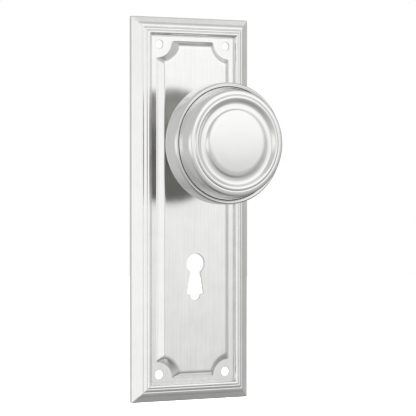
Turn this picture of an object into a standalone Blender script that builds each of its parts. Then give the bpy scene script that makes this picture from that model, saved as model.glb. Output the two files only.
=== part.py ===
"""Sprung door knob on a long keyhole plate: one side of a mortise lock's door set.

World frame: origin on the knob's axis at the door's face, +X to the right, +Y into the door, +Z up.
Every piece is modelled in a door frame instead, which an empty turns into the world frame:
local +X to the right, local +Y up, local +Z out of the door. That local Z is called depth here.
All constants are millimetres, and MM turns them into metres.
"""
import math

import bmesh
import bpy
from mathutils import Matrix

MM = 0.001
COLLECTION = "door_knob"

# plate: 7 1/4 in tall, knob axis 2 1/4 in above the keyhole
PLATE_WIDTH = 62.8
PLATE_HEIGHT = 184.15
KNOB_ABOVE_CENTRE = 31.15
KEYHOLE_DROP = 57.15
EDGE_WALL = 2.1
RIM_WIDTH = 9.2
FIELD_DEPTH = 4.64
PANEL_DEPTH = 7.7
FIELD_BORDER = 2.3
PANEL_LONGER = 0.5
NOTCH_RADIUS = 7.4
NOTCH_INSET = (0.9, 0.6)
SCREW_HOLE_X = 17.95
SCREW_HOLE_Y = 78.9
SCREW_HOLE_RADIUS = 2.05
BACK_LAND = 5.0
FIELD_HOLLOW = 2.9
PANEL_HOLLOW = 6.2
POCKET_INSET = 2.7
COLLAR_HOLE_RADIUS = 10.8

# rim moulding from the edge wall inwards, each step as (inset, rise)
RIM_STEPS = (
    (0.35, 0.3),
    (2.45, 1.4),
    (0.15, 0.3),
    (1.65, 1.05),
    (0.5, 0.05),
    (0.5, 0.6),
    (0.75, 0.35),
    (0.35, -0.15),
    (0.3, 0.5),
    (0.6, 0.05),
    (0.5, -0.3),
    (0.8, -1.3),
    (0.3, -0.26),
)
# bevel of the raised panel, from its foot inwards
PANEL_STEPS = ((0.7, 0.4), (1.6, 2.1), (0.8, 0.56))

# knob: depths from the door's face
KNOB_RADIUS = 28.45
KNOB_FACE_DEPTH = 49.4
FLARE_RADIUS = 26.45
SHELL_WALL = 1.2

# neck, journal and socket
JOURNAL_RADIUS = 8.0
NECK_RADIUS = 9.6
NECK_START = 15.0
SHANK_REAR = -4.4
SHANK_FRONT = 27.0
FLAT_HALF = 6.6
FLATS_END = 5.2
SOCKET_HALF = 3.85
SOCKET_END = 25.0
SPINDLE_HALF = 3.57
SPINDLE_REAR = -48.0
SPINDLE_FRONT = 24.7
SET_SCREW_DEPTH = 17.6
SET_SCREW_RADIUS = 2.0

# spring housing behind the panel
HOUSING_RADIUS = 15.5
HOUSING_FRONT = 5.9
HOUSING_REAR = 1.5
FLOOR_THICKNESS = 0.6
WALL_THICKNESS = 0.7
COVER_FRONT = 1.2
COVER_REAR = 0.4
COVER_HALF = (15.9, 24.0)
BORE_RADIUS = 8.6
POST_X = 11.5
POST_Y = 20.0
POST_RADIUS = 2.6

# return spring and its stops
SPRING_RADIUS = 11.0
SPRING_WIRE = 0.8
SPRING_FRONT = 3.5
SPRING_REAR = 1.95
SPRING_TURNS = 1.75
ARM_HALF_WIDTH = 2.0
ARM_REACH = 14.0
ARM_REAR = 4.2
PIN_CIRCLE = 13.2
PIN_RADIUS = 0.9
PIN_ANGLE = 74.0

GAP = 0.3
TURN_STEPS = 40
SMALL_STEPS = 32
FINE_STEPS = 16


# ---------------------------------------------------------------- scene and materials

def clear_scene():
    """Remove every object of the open scene."""
    for obj in list(bpy.data.objects):
        bpy.data.objects.remove(obj, do_unlink=True)


def make_collection(name):
    """A collection linked to the scene."""
    collection = bpy.data.collections.new(name)
    bpy.context.scene.collection.children.link(collection)
    return collection


def metal(name, colour, roughness, metallic=1.0):
    """A Principled material with one colour."""
    material = bpy.data.materials.new(name)
    material.use_nodes = True
    shader = material.node_tree.nodes["Principled BSDF"]
    shader.inputs["Base Color"].default_value = (*colour, 1.0)
    shader.inputs["Roughness"].default_value = roughness
    shader.inputs["Metallic"].default_value = metallic
    return material


def satin_nickel():
    """Plated finish of the plate, collar and knob."""
    return metal("satin_nickel", (0.84, 0.83, 0.81), 0.3)


def zinc_steel():
    """Zinc-plated pressings and screws."""
    return metal("zinc_steel", (0.66, 0.67, 0.69), 0.4)


def spring_steel():
    """Dark oiled spring wire and snap ring."""
    return metal("spring_steel", (0.2, 0.2, 0.21), 0.35)


def cast_zinc():
    """Die-cast driver."""
    return metal("cast_zinc", (0.55, 0.55, 0.56), 0.5)


def nylon():
    """Off-white bearing nylon."""
    return metal("nylon", (0.86, 0.85, 0.8), 0.45, metallic=0.0)


# ---------------------------------------------------------------- modelling helpers

def link(mesh, name, collection):
    """A new object for a mesh, in a collection."""
    obj = bpy.data.objects.new(name, mesh)
    collection.objects.link(obj)
    return obj


def bake(obj, name, collection):
    """Replace a curve or modified object by a plain mesh object with welded vertices."""
    depsgraph = bpy.context.evaluated_depsgraph_get()
    mesh = bpy.data.meshes.new_from_object(obj.evaluated_get(depsgraph))
    mesh.name = name
    bm = bmesh.new()
    bm.from_mesh(mesh)
    bmesh.ops.remove_doubles(bm, verts=bm.verts, dist=0.005 * MM)
    bmesh.ops.recalc_face_normals(bm, faces=bm.faces)
    bm.to_mesh(mesh)
    bm.free()
    bpy.data.objects.remove(obj, do_unlink=True)
    mesh.shade_smooth()
    mesh.set_sharp_from_angle(angle=math.radians(30))
    return link(mesh, name, collection)


def turned(name, profile, collection, steps=TURN_STEPS, solid_core=False):
    """Turn a (radius, depth) profile about the depth axis.

    A ring's profile is a closed loop. With solid_core the profile is open and starts and ends on the axis.
    The points run down the outer side and up the inner side.
    """
    points = list(profile)
    area = sum(a[0] * b[1] - b[0] * a[1] for a, b in zip(points, points[1:] + points[:1]))
    if area > 0:
        points.reverse()
    mesh = bpy.data.meshes.new(name)
    last = len(points) - 1 if solid_core else len(points)
    edges = [(i, (i + 1) % len(points)) for i in range(last)]
    mesh.from_pydata([(r * MM, 0.0, depth * MM) for r, depth in points], edges, [])
    obj = link(mesh, name + "_profile", collection)
    screw = obj.modifiers.new("turn", "SCREW")
    screw.axis = "Z"
    screw.angle = math.tau
    screw.steps = steps
    screw.render_steps = steps
    screw.use_merge_vertices = True
    screw.merge_threshold = 0.00001
    return bake(obj, name, collection)


def slab(name, outlines, rear, front, collection):
    """Flat piece between two depths: the first outline is its edge, the others are holes."""
    curve = bpy.data.curves.new(name, "CURVE")
    curve.dimensions = "2D"
    curve.fill_mode = "BOTH"
    curve.extrude = (front - rear) / 2 * MM
    for outline in outlines:
        spline = curve.splines.new("POLY")
        spline.points.add(len(outline) - 1)
        for point, (x, y) in zip(spline.points, outline):
            point.co = (x * MM, y * MM, 0.0, 1.0)
        spline.use_cyclic_u = True
    obj = link(curve, name + "_outline", collection)
    obj = bake(obj, name, collection)
    obj.data.transform(Matrix.Translation((0.0, 0.0, (front + rear) / 2 * MM)))
    return obj


def lofted_block(name, rings, collection):
    """Solid through a stack of (outline, depth) rings with equal point counts, rear ring first."""
    bm = bmesh.new()
    loops = [[bm.verts.new((x * MM, y * MM, depth * MM)) for x, y in outline] for outline, depth in rings]
    for lower, upper in zip(loops, loops[1:]):
        for i in range(len(lower)):
            j = (i + 1) % len(lower)
            bm.faces.new((lower[i], lower[j], upper[j], upper[i]))
    bm.faces.new(loops[0][::-1])
    bm.faces.new(loops[-1])
    bmesh.ops.recalc_face_normals(bm, faces=bm.faces)
    mesh = bpy.data.meshes.new(name)
    bm.to_mesh(mesh)
    bm.free()
    mesh.shade_smooth()
    mesh.set_sharp_from_angle(angle=math.radians(30))
    return link(mesh, name, collection)


def moulding(outline_at, rear, front, steps):
    """Rings of a block whose front is inset and raised step by step: outline_at gives each inset's outline."""
    rings = [(outline_at(0.0), rear), (outline_at(0.0), front)]
    inset = 0.0
    depth = front
    for step, rise in steps:
        inset += step
        depth += rise
        rings.append((outline_at(inset), depth))
    return rings


def arc(cx, cy, radius, start, end, count):
    """Points on an arc, both ends included, in degrees."""
    angles = [math.radians(start + (end - start) * i / count) for i in range(count + 1)]
    return [(cx + radius * math.cos(a), cy + radius * math.sin(a)) for a in angles]


def circle(cx, cy, radius, count=SMALL_STEPS):
    """Closed circle without a repeated point."""
    return arc(cx, cy, radius, 0, 360, count)[:-1]


def rectangle(half_x, half_y, cx=0.0, cy=0.0):
    """Rectangle from the lower left corner, anticlockwise."""
    return [(cx - half_x, cy - half_y), (cx + half_x, cy - half_y),
            (cx + half_x, cy + half_y), (cx - half_x, cy + half_y)]


def rounded_rectangle(half_x, half_y, radius, count=6):
    """Rectangle about the origin with round corners, anticlockwise."""
    points = []
    for sx, sy, start in ((1, 1, 0), (-1, 1, 90), (-1, -1, 180), (1, -1, 270)):
        points += arc(sx * (half_x - radius), sy * (half_y - radius), radius, start, start + 90, count)
    return points


def use_cutter(target, cutter, operation="DIFFERENCE"):
    """Cut or join a wire-drawn helper object into a piece with an exact Boolean."""
    cutter.hide_render = True
    cutter.display_type = "WIRE"
    boolean = target.modifiers.new(cutter.name, "BOOLEAN")
    boolean.operation = operation
    boolean.solver = "EXACT"
    boolean.object = cutter


# ---------------------------------------------------------------- back plate

def plate_edge(inset):
    """Rectangle of the plate's edge, moved inwards."""
    return rectangle(PLATE_WIDTH / 2 - inset, PLATE_HEIGHT / 2 - inset, cy=-KNOB_ABOVE_CENTRE)


def notched_panel(inset):
    """Outline of the raised panel, with a quarter circle bitten out of each corner."""
    half_x = PLATE_WIDTH / 2 - RIM_WIDTH - FIELD_BORDER - inset
    half_y = PLATE_HEIGHT / 2 - RIM_WIDTH - FIELD_BORDER + PANEL_LONGER - inset
    radius = NOTCH_RADIUS + inset
    centre_x = PLATE_WIDTH / 2 - RIM_WIDTH - FIELD_BORDER - NOTCH_INSET[0]
    centre_y = PLATE_HEIGHT / 2 - RIM_WIDTH - FIELD_BORDER + PANEL_LONGER - NOTCH_INSET[1]
    on_side = math.degrees(math.acos((half_x - centre_x) / radius))
    on_end = math.degrees(math.asin((half_y - centre_y) / radius))
    quarter = arc(0, 0, radius, 360 - on_side, 180 - on_end, 9)
    points = []
    for sx, sy in ((1, 1), (-1, 1), (-1, -1), (1, -1)):
        corner = [(sx * (centre_x + x), sy * (centre_y + y) - KNOB_ABOVE_CENTRE) for x, y in quarter]
        points += corner if sx * sy > 0 else corner[::-1]
    return points


def keyhole_outline():
    """Bow circle, flared slot, small shoulders and a round lobe at the foot."""
    bow = arc(0, -KEYHOLE_DROP, 4.9, -56, 236, 20)
    lobe = arc(0, -KEYHOLE_DROP - 14.9, 2.5, 180, 360, 8)
    left = [(-4.35, -KEYHOLE_DROP - 13.9), (-4.25, -KEYHOLE_DROP - 14.3), (-2.95, -KEYHOLE_DROP - 14.5)]
    right = [(-x, y) for x, y in reversed(left)]
    return bow + left + lobe + right


def back_plate(parts, cutters):
    """Forged plate: moulded rim, flat field, raised notched panel, hollow back with four posts."""
    plate = lofted_block("back_plate", moulding(plate_edge, 0.0, EDGE_WALL, RIM_STEPS), parts)
    foot = moulding(notched_panel, FIELD_DEPTH - 1.0, FIELD_DEPTH, PANEL_STEPS)
    use_cutter(plate, lofted_block("panel_block", foot, cutters), "UNION")
    use_cutter(plate, slab("field_hollow", [plate_edge(BACK_LAND)], -1.0, FIELD_HOLLOW, cutters))
    use_cutter(plate, slab("panel_hollow", [notched_panel(POCKET_INSET)], -1.0, PANEL_HOLLOW, cutters))
    use_cutter(plate, slab("keyhole", [keyhole_outline()], -1.0, 10.0, cutters))
    use_cutter(plate, slab("collar_hole", [circle(0, 0, COLLAR_HOLE_RADIUS)], -1.0, 10.0, cutters))
    for sx in (-1, 1):
        for sy in (-1, 1):
            spot = (sx * SCREW_HOLE_X, sy * SCREW_HOLE_Y - KNOB_ABOVE_CENTRE)
            hole = turned(f"screw_hole_{sx}_{sy}", screw_hole_profile(), cutters, FINE_STEPS, solid_core=True)
            hole.location = (spot[0] * MM, spot[1] * MM, 0.0)
            use_cutter(plate, hole)
            post = turned(f"post_{sx}_{sy}", post_profile(), cutters, FINE_STEPS)
            post.location = (sx * POST_X * MM, sy * POST_Y * MM, 0.0)
            use_cutter(plate, post, "UNION")
    return plate


def screw_hole_profile():
    """Straight through hole."""
    return [(0, 10), (SCREW_HOLE_RADIUS, 10), (SCREW_HOLE_RADIUS, -1), (0, -1)]


def post_profile():
    """Cast post under the panel with a blind screw hole, which starts just inside the panel's wall."""
    bore = 1.65
    rear = COVER_FRONT + GAP
    return [(POST_RADIUS, PANEL_HOLLOW + 0.5), (POST_RADIUS, rear), (bore, rear),
            (bore, PANEL_HOLLOW - 0.2), (0.4, PANEL_HOLLOW + 0.2), (0.4, PANEL_HOLLOW + 0.5)]


# ---------------------------------------------------------------- bearing

def plate_collar(parts):
    """Ferrule on the panel whose spigot sits in the plate."""
    seat = PANEL_DEPTH + GAP
    spigot = COLLAR_HOLE_RADIUS - GAP
    profile = [(9.6, 12.9), (11.6, 12.9), (12.1, 12.4), (11.6, 11.7), (11.8, 10.2), (13.2, 9.4),
               (13.6, 8.9), (13.6, seat), (spigot, seat), (spigot, PANEL_HOLLOW), (9.6, PANEL_HOLLOW)]
    return turned("plate_collar", profile, parts)


def bearing_bush(parts):
    """Flanged sleeve in the collar with a running clearance on the journal."""
    bore = JOURNAL_RADIUS + 0.1
    profile = [(bore, 13.9), (10.8, 13.9), (10.8, 13.2), (9.3, 13.2), (9.3, 6.3), (bore, 6.3)]
    return turned("bearing_bush", profile, parts)


def washer(name, inner, outer, rear, front, parts):
    """Flat ring."""
    profile = [(inner, front), (outer, front), (outer, rear), (inner, rear)]
    return turned(name, profile, parts, SMALL_STEPS)


# ---------------------------------------------------------------- knob

def knob_back_shell(parts):
    """Bowl and drum from the neck to the rolled lip that holds the front shell."""
    inside = KNOB_RADIUS - SHELL_WALL
    edge = FLARE_RADIUS + GAP
    outer = [(edge, 39.6), (edge, 40.7), (27.05, 41.65), (27.75, 41.75), (28.3, 40.95), (KNOB_RADIUS, 39.6),
             (KNOB_RADIUS, 32.6), (27.9, 30.4), (25.9, 27.6), (21.4, 24.8), (15.0, 22.2),
             (NECK_RADIUS + GAP, 20.7)]
    inner = [(NECK_RADIUS + GAP, 20.7 + SHELL_WALL), (14.6, 23.5), (20.8, 26.1), (25.0, 28.8), (26.8, 31.2),
             (inside, 33.0), (inside, 38.6)]
    return turned("knob_back_shell", outer + inner, parts)


def knob_front_shell(parts):
    """Stepped front as a thin shell: flare, shoulder, bead, hollow ring and slightly domed disc."""
    face = KNOB_FACE_DEPTH
    outer = [(0, face + 0.5), (8.0, face + 0.35), (13.6, face), (15.2, face - 0.35), (16.0, face - 1.05),
             (18.7, face - 1.25), (20.4, face - 0.15), (21.2, face), (22.1, face - 0.6), (23.9, face - 0.75),
             (24.7, face - 1.45), (24.95, face - 3.2), (25.3, 44.0), (25.8, 42.0), (FLARE_RADIUS, 40.2),
             (FLARE_RADIUS, 39.0)]
    inner = [(FLARE_RADIUS - SHELL_WALL, 39.0), (24.6, 41.9), (24.1, 44.0), (23.6, 46.6), (22.9, 47.2),
             (15.8, 47.0), (0, face - 1.0)]
    return turned("knob_front_shell", outer + inner, parts, solid_core=True)


def knob_shank(parts, cutters):
    """Neck, journal and clip groove in one bar, with a square socket and two driving flats."""
    profile = [(0, SHANK_FRONT), (8.4, SHANK_FRONT), (NECK_RADIUS, 25.6), (12.6, 25.4), (12.6, 24.0),
               (NECK_RADIUS, 23.8), (NECK_RADIUS, NECK_START), (JOURNAL_RADIUS, NECK_START),
               (JOURNAL_RADIUS, -1.6), (7.1, -1.6), (7.1, -3.2), (JOURNAL_RADIUS, -3.2),
               (JOURNAL_RADIUS, SHANK_REAR + 0.5), (7.5, SHANK_REAR), (0, SHANK_REAR)]
    shank = turned("knob_shank", profile, parts, solid_core=True)
    socket = rectangle(SOCKET_HALF, SOCKET_HALF)
    use_cutter(shank, slab("socket", [socket], SHANK_REAR - 1.0, SOCKET_END, cutters))
    for side in (-1, 1):
        flat = rectangle(3.0, 12.0, cx=side * (FLAT_HALF + 3.0))
        use_cutter(shank, slab(f"flat_{side}", [flat], SHANK_REAR - 1.0, FLATS_END, cutters))
    hole = turned("set_screw_hole", [(0, 12), (SET_SCREW_RADIUS + GAP, 12), (SET_SCREW_RADIUS + GAP, 2),
                                     (0, 2)], cutters, FINE_STEPS, solid_core=True)
    hole.rotation_euler = (math.radians(90), 0.0, 0.0)
    hole.location = (0.0, 0.0, SET_SCREW_DEPTH * MM)
    use_cutter(shank, hole)
    return shank


def set_screw(parts, cutters):
    """Headless screw that points down through the neck, with a hexagon socket."""
    tip = SPINDLE_HALF + GAP
    head = NECK_RADIUS - 0.4
    profile = [(0, head), (1.7, head), (SET_SCREW_RADIUS, head - 0.3), (SET_SCREW_RADIUS, tip + 0.4),
               (1.5, tip), (0, tip)]
    screw = turned("set_screw", profile, parts, FINE_STEPS, solid_core=True)
    screw.rotation_euler = (math.radians(90), 0.0, 0.0)
    screw.location = (0.0, 0.0, SET_SCREW_DEPTH * MM)
    hexagon = slab("hex_socket", [circle(0, 0, 1.15, 6)], head - 1.8, head + 1.0, cutters)
    hexagon.rotation_euler = screw.rotation_euler
    hexagon.location = screw.location
    use_cutter(screw, hexagon)
    return screw


def spindle(parts):
    """Square bar with chamfered corners and a chamfer round each end."""
    def section(inset):
        return rounded_rectangle(SPINDLE_HALF - inset, SPINDLE_HALF - inset, 0.5, 1)
    rings = [(section(0.4), SPINDLE_REAR), (section(0), SPINDLE_REAR + 0.6),
             (section(0), SPINDLE_FRONT - 0.4), (section(0.3), SPINDLE_FRONT)]
    return lofted_block("spindle", rings, parts)


# ---------------------------------------------------------------- spring housing

def spring_housing(parts, cutters):
    """Round pressed cup, open to the rear, with a slot for the spring's outer end."""
    inner = HOUSING_RADIUS - WALL_THICKNESS
    floor = HOUSING_FRONT - FLOOR_THICKNESS
    profile = [(BORE_RADIUS, HOUSING_FRONT), (HOUSING_RADIUS, HOUSING_FRONT),
               (HOUSING_RADIUS, HOUSING_REAR), (inner, HOUSING_REAR), (inner, floor), (BORE_RADIUS, floor)]
    cup = turned("spring_housing", profile, parts)
    slot = rectangle(0.8, 2.0, cy=-HOUSING_RADIUS)
    use_cutter(cup, slab("spring_slot", [slot], HOUSING_REAR - 1.0, SPRING_REAR + 0.8, cutters))
    return cup


def housing_cover(parts, cutters):
    """Flat cover with the journal's hole and four countersunk holes."""
    outline = rounded_rectangle(*COVER_HALF, 4.0)
    cover = slab("housing_cover", [outline, circle(0, 0, BORE_RADIUS)], COVER_REAR, COVER_FRONT, parts)
    for index, (x, y) in enumerate(screw_spots()):
        hole = turned(f"countersink_{index}", [(0, 3), (1.65, 3), (1.65, COVER_FRONT + 0.2), (3.15, -0.1),
                                               (3.15, -1), (0, -1)], cutters, FINE_STEPS, solid_core=True)
        hole.location = (x * MM, y * MM, 0.0)
        use_cutter(cover, hole)
    return cover


def screw_spots():
    """Centres of the four posts, row by row."""
    return [(sx * POST_X, sy * POST_Y) for sy in (1, -1) for sx in (-1, 1)]


def housing_screw(number, spot, parts, cutters):
    """Countersunk screw with a straight slot."""
    profile = [(0, 4.9), (1.0, 4.9), (1.35, 4.5), (1.35, COVER_FRONT + 0.2), (2.6, COVER_REAR),
               (2.6, COVER_REAR - 0.15), (0, COVER_REAR - 0.15)]
    screw = turned(f"housing_screw_{number}", profile, parts, FINE_STEPS, solid_core=True)
    slot = slab(f"driver_slot_{number}", [rectangle(4.0, 0.3)], -1.0, COVER_REAR + 0.3, cutters)
    screw.location = (spot[0] * MM, spot[1] * MM, 0.0)
    slot.location = screw.location
    slot.rotation_euler = (0.0, 0.0, math.radians(25 + 40 * number))
    use_cutter(screw, slot)
    return screw


def double_flat(radius, half_width, count=8):
    """Circle with a flat on its left and on its right."""
    reach = math.degrees(math.acos(half_width / radius))
    return (arc(0, 0, radius, reach, 180 - reach, count)
            + arc(0, 0, radius, 180 + reach, 360 - reach, count))


def spring_rotor(parts, cutters):
    """Driver: a hub on the shank's flats and an arm that swings between the stop pins."""
    hub_radius = 9.7
    merge = 0.05
    bore = double_flat(JOURNAL_RADIUS + GAP, FLAT_HALF + GAP)
    hub_bore = double_flat(JOURNAL_RADIUS + GAP + 0.01, FLAT_HALF + GAP + 0.01)
    front = HOUSING_FRONT - FLOOR_THICKNESS - GAP
    base = math.degrees(math.asin(ARM_HALF_WIDTH / hub_radius))
    outline = arc(0, 0, hub_radius, 90 + base, 450 - base, TURN_STEPS)
    outline += [(ARM_HALF_WIDTH, ARM_REACH - 0.6), (ARM_HALF_WIDTH - 0.6, ARM_REACH),
                (0.6 - ARM_HALF_WIDTH, ARM_REACH), (-ARM_HALF_WIDTH, ARM_REACH - 0.6)]
    rotor = slab("spring_rotor", [outline, bore], ARM_REAR, front, parts)
    hub = slab("rotor_hub", [circle(0, 0, hub_radius - merge, TURN_STEPS), hub_bore],
               COVER_FRONT + GAP, ARM_REAR + 0.3, cutters)
    use_cutter(rotor, hub, "UNION")
    notch = rectangle(1.6, 0.75, cx=hub_radius)
    use_cutter(rotor, slab("rotor_notch", [notch], 0.0, ARM_REAR - merge, cutters))
    return rotor


def return_spring(parts):
    """Torsion spring: one end turned in to the rotor's notch, the other out through the cup's slot."""
    curve = bpy.data.curves.new("return_spring", "CURVE")
    curve.dimensions = "3D"
    curve.bevel_depth = SPRING_WIRE / 2 * MM
    curve.bevel_resolution = 2
    curve.use_fill_caps = True
    points = [(8.5, 0.0, SPRING_FRONT), (9.7, 0.0, SPRING_FRONT), (10.6, 0.15, SPRING_FRONT)]
    steps = round(SPRING_TURNS * 20)
    for i in range(1, steps):
        angle = math.tau * SPRING_TURNS * i / steps
        depth = SPRING_FRONT + (SPRING_REAR - SPRING_FRONT) * i / steps
        points.append((SPRING_RADIUS * math.cos(angle), SPRING_RADIUS * math.sin(angle), depth))
    foot = -SPRING_RADIUS
    points += [(-0.15, foot - 0.4, SPRING_REAR), (0.0, foot - 1.3, SPRING_REAR),
               (0.0, -HOUSING_RADIUS + 0.1, SPRING_REAR)]
    spline = curve.splines.new("POLY")
    spline.points.add(len(points) - 1)
    for point, (x, y, depth) in zip(spline.points, points):
        point.co = (x * MM, y * MM, depth * MM, 1.0)
    return bake(link(curve, "spring_wire", parts), "return_spring", parts)


def stop_pin(name, angle, parts):
    """Round pin that ends the rotor's swing."""
    front = HOUSING_FRONT - FLOOR_THICKNESS - GAP
    rear = COVER_FRONT + GAP
    profile = [(0, front), (PIN_RADIUS, front), (PIN_RADIUS, rear + 0.2), (PIN_RADIUS - 0.2, rear), (0, rear)]
    pin = turned(name, profile, parts, FINE_STEPS, solid_core=True)
    turn = math.radians(90 + angle)
    pin.location = (PIN_CIRCLE * math.cos(turn) * MM, PIN_CIRCLE * math.sin(turn) * MM, 0.0)
    return pin


# ---------------------------------------------------------------- rear retention

def wave_washer(parts):
    """Thin ring bent into three waves."""
    ring = turned("wave_washer", [(8.4, 0.15), (10.6, 0.15), (10.6, -0.15), (8.4, -0.15)], parts)
    for vertex in ring.data.vertices:
        angle = math.atan2(vertex.co.y, vertex.co.x)
        vertex.co.z += (0.22 * math.cos(3 * angle) - 0.3) * MM
    return ring


def retaining_clip(parts):
    """External snap ring with two eyes at its opening."""
    opening = 24
    outer = arc(0, 0, 9.6, -90 + opening, 270 - opening, 28)
    inner = arc(0, 0, 7.4, 270 - opening, -90 + opening, 28)
    left = [(-3.2, -11.2), (-1.6, -11.2), (-1.2, -8.2)]
    right = [(-x, y) for x, y in reversed(left)]
    eyes = [circle(sx * 2.35, -9.9, 0.55, 10) for sx in (-1, 1)]
    outline = outer + left + inner + right
    return slab("retaining_clip", [outline] + eyes, -2.9, -1.9, parts)


# ---------------------------------------------------------------- assembly

def stand_up(objects, frame):
    """Parent pieces to the door frame's empty, keeping their own place in it."""
    for obj in objects:
        obj.parent = frame


def dress(objects, material):
    """One material for several pieces."""
    for obj in objects:
        obj.data.materials.clear()
        obj.data.materials.append(material)


def main():
    clear_scene()
    parts = make_collection(COLLECTION)
    cutters = make_collection("cutters")

    plate = back_plate(parts, cutters)
    collar = plate_collar(parts)
    bush = bearing_bush(parts)
    spacer = washer("spacer_washer", JOURNAL_RADIUS + GAP, 10.4, 14.2, 14.7, parts)

    front_shell = knob_front_shell(parts)
    back_shell = knob_back_shell(parts)
    shank = knob_shank(parts, cutters)
    grub = set_screw(parts, cutters)
    bar = spindle(parts)

    cup = spring_housing(parts, cutters)
    cover = housing_cover(parts, cutters)
    screws = [housing_screw(i + 1, spot, parts, cutters) for i, spot in enumerate(screw_spots())]
    rotor = spring_rotor(parts, cutters)
    spring = return_spring(parts)
    pins = [stop_pin("stop_pin_left", PIN_ANGLE, parts), stop_pin("stop_pin_right", -PIN_ANGLE, parts)]

    wave = wave_washer(parts)
    flat_washer = washer("clip_washer", JOURNAL_RADIUS + GAP, 10.6, -1.55, -1.1, parts)
    clip = retaining_clip(parts)

    dress([plate, collar, front_shell, back_shell, shank], satin_nickel())
    dress([cup, cover, bar, flat_washer, *screws, *pins], zinc_steel())
    dress([spring, wave, clip, grub], spring_steel())
    dress([rotor], cast_zinc())
    dress([bush, spacer], nylon())

    door_frame = bpy.data.objects.new("door_frame", None)
    parts.objects.link(door_frame)
    door_frame.rotation_euler = (math.radians(90), 0.0, 0.0)
    knob_axis = bpy.data.objects.new("knob_axis", None)
    parts.objects.link(knob_axis)
    knob_axis.parent = door_frame
    stand_up([plate, collar, bush, cup, cover, spring, *screws, *pins, *cutters.objects], door_frame)
    stand_up([spacer, front_shell, back_shell, shank, grub, bar, rotor, wave, flat_washer, clip], knob_axis)


main()
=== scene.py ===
import math

import bmesh
import bpy
from mathutils import Matrix, Vector


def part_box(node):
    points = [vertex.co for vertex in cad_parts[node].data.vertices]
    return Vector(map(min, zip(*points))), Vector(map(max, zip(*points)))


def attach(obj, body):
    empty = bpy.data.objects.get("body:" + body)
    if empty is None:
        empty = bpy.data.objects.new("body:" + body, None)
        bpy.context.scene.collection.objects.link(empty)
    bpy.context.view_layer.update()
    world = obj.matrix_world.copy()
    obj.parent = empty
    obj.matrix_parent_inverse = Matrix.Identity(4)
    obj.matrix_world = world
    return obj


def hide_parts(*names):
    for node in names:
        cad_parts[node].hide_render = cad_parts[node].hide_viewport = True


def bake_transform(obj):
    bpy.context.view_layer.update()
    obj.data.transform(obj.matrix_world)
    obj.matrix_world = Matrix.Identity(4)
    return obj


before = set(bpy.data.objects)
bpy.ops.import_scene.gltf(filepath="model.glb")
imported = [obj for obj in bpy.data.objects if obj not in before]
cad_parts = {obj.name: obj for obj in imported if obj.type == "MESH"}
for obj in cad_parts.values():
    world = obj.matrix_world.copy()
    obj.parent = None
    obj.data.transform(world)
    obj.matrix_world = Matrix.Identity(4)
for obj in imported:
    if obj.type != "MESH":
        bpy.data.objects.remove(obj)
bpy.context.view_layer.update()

# Every piece is drawn in the door's own terms: x to the right, y up, and depth out of the door's face,
# in millimetres from the knob's axis. place() turns that into the row frame, in metres.
MM = 0.001

plate_low, plate_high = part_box("back_plate")
front_low, front_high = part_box("knob_front_shell")
back_low, back_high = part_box("knob_back_shell")

PLATE_HALF_X = (plate_high.x - plate_low.x) / 2 / MM
PLATE_HALF_Y = (plate_high.z - plate_low.z) / 2 / MM
PLATE_CENTRE_Y = (plate_high.z + plate_low.z) / 2 / MM
PANEL_DEPTH = -plate_low.y / MM
KNOB_RADIUS = back_high.x / MM
KNOB_TOP = -front_low.y / MM
SKIRT_RADIUS = front_high.x / MM
BOWL_REAR = -back_high.y / MM
LIP_TOP = -back_low.y / MM

# plate
RIM_WIDTH = 9.2
FIELD_DEPTH = 4.64
FIELD_BORDER = 2.3
MITRE_SOFTNESS = 0.45
# rim moulding, each corner as (distance in from the edge, depth, softness)
RIM_PROFILE = (
    (0.0, 0.0, 0.0), (0.0, 2.1, 0.3), (0.35, 2.4, 0.25), (2.75, 3.75, 0.1), (2.9, 4.15, 0.1),
    (3.7, 4.75, 0.4), (4.7, 5.2, 0.4), (5.05, 5.1, 0.08), (5.25, 5.35, 0.08), (5.6, 5.85, 0.25),
    (6.3, 6.15, 0.3), (6.6, 5.95, 0.08), (6.8, 6.2, 0.08), (7.1, 6.55, 0.3), (7.7, 6.6, 0.35),
    (8.3, 6.25, 0.4), (8.75, 5.2, 0.3), (8.85, 4.6, 0.08), (8.9, 4.25, 0.08),
    (9.25, 4.25, 0.08), (9.35, 4.64, 0.12), (9.9, 4.64, 0.0),
)
# raised panel, each corner as (distance in from its foot, depth, softness)
PANEL_PROFILE = (
    (-0.5, 4.5, 0.0), (0.4, 4.64, 0.9), (2.7, 7.35, 1.1), (3.5, 7.7, 0.7), (4.8, 7.7, 0.0),
)
NOTCH_RADIUS = 7.4
NOTCH_INSET = (0.9, 0.6)
PANEL_LONGER = 0.5
TIP_SOFTNESS = 1.1
SCREW_HOLE_X = 17.95
SCREW_HOLE_Y = 78.9
SCREW_HOLE_RADIUS = 2.05
COLLAR_HOLE_RADIUS = 10.8
BACK_LAND = 5.0
FIELD_HOLLOW = 2.9
PANEL_HOLLOW = 6.2
POCKET_INSET = 2.7

# keyhole: the bow with its ends in degrees, the lobe at the foot below the bow's centre, and the left
# shoulder's corners from the bow's centre
KEYHOLE_Y = -57.15
BOW_RADIUS, BOW_START, BOW_END = 4.9, -56, 236
LOBE_RADIUS, LOBE_DROP = 2.5, 14.9
LEFT_SHOULDER = ((-4.35, -13.9), (-4.25, -14.3), (-2.95, -14.5))

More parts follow.
